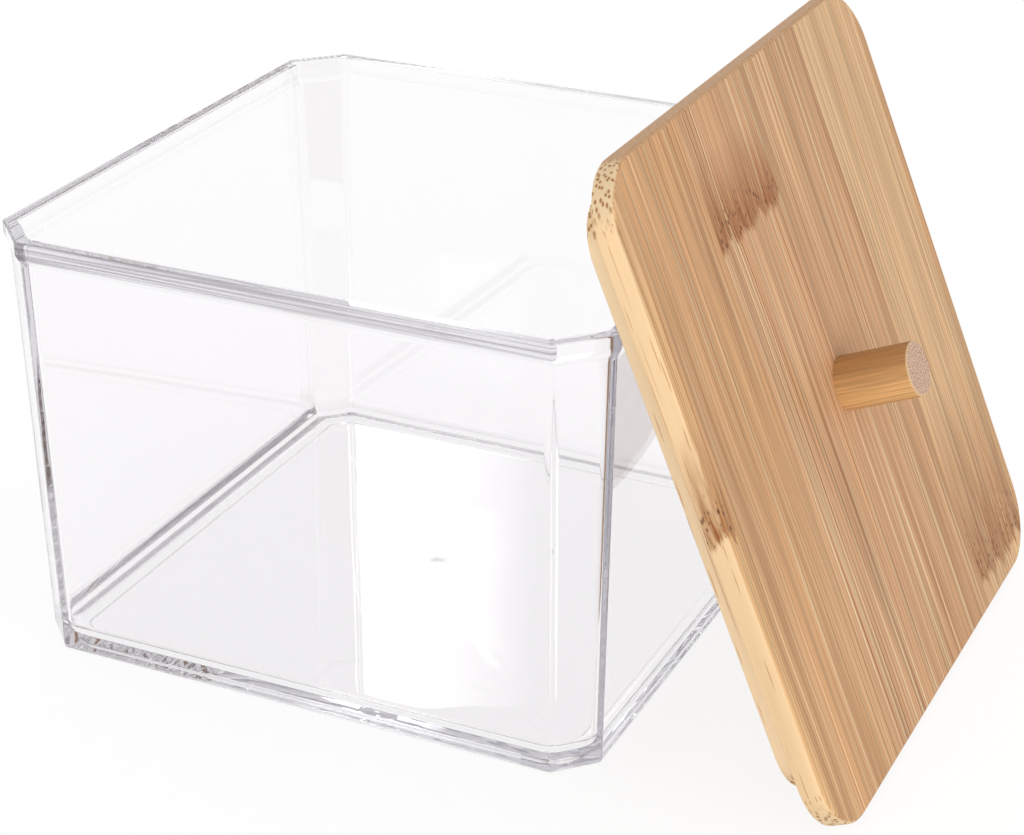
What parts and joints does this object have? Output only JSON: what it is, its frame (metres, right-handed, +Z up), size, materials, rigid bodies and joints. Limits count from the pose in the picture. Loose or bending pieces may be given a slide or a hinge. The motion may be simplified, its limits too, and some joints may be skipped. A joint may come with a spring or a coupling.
{
  "type": "clear lidded storage box",
  "caption": "Square clear plastic storage box with cut corners and a loose square bamboo lid with a dowel knob, shown leaning against the rim.",
  "frame": {"origin": "middle of the footprint of the box and its leaning lid, on the surface they stand on", "axes": "+X to the right along the box's front wall, towards the leaning lid; +Y from the front wall to the back wall; +Z up"},
  "size_m": [0.1506, 0.1114, 0.1031],
  "materials": {
    "clear_plastic": "polished, water clear",
    "bamboo_panel": "sanded bamboo, thin matt oil",
    "bamboo_dowel": "turned bamboo, thin matt oil",
    "zinc_plated_steel": "bright zinc plate"
  },
  "bodies": {
    "box": {"clear_box": "clear_plastic"},
    "lid": {"lid_panel": "bamboo_panel", "knob": "bamboo_dowel", "knob_screw": "zinc_plated_steel"}
  },
  "joints": [
    {"name": "lid_lift", "type": "slide", "parent": "box", "child": "lid", "axis": [0, 0, 1], "range_m": [0, 0.1]}
  ]
}
